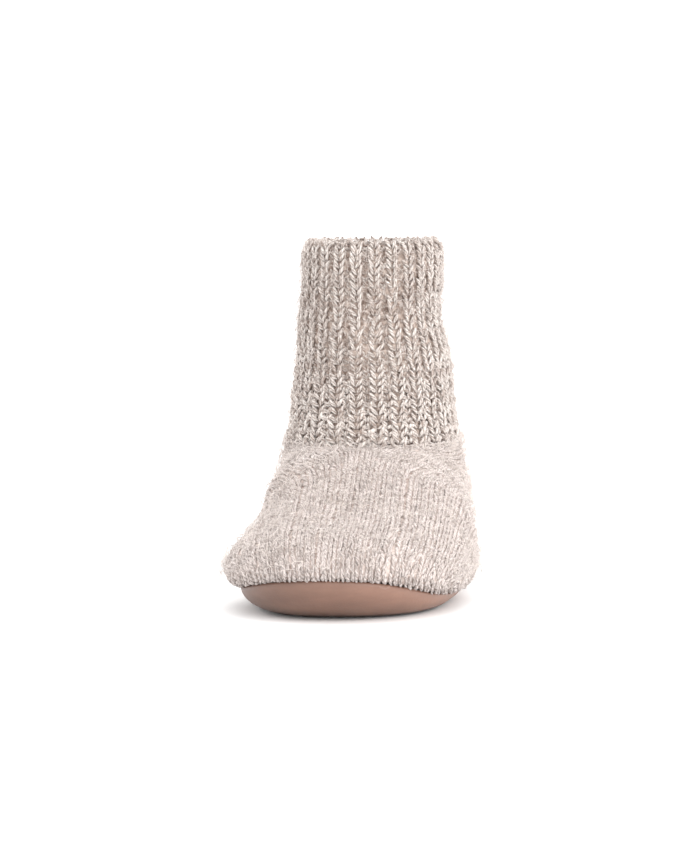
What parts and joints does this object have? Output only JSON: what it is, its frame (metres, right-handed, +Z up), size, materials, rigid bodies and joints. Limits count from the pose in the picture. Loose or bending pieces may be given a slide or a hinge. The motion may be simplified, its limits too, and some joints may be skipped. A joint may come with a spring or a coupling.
{
  "type": "slipper sock",
  "caption": "Knitted slipper sock with a ribbed ankle shaft, a plain-knitted foot and a soft leather sole turned up round the toe.",
  "frame": {"origin": "on the floor plane under the middle of the heel, where the sole rests", "axes": "-Y towards the toe, +X towards the outer side of a left foot, +Z up the leg"},
  "size_m": [0.1023, 0.2585, 0.1529],
  "materials": {
    "brown_leather": "smooth, soft sheen",
    "insole_felt": "matt felt",
    "plain_ragg_knit": "heathered oatmeal wool, plain knit",
    "ribbed_ragg_knit": "heathered oatmeal wool, one-by-one rib"
  },
  "bodies": {
    "root": {"outsole": "brown_leather", "insole": "insole_felt", "upper": "plain_ragg_knit", "shaft": "ribbed_ragg_knit"}
  },
  "joints": []
}
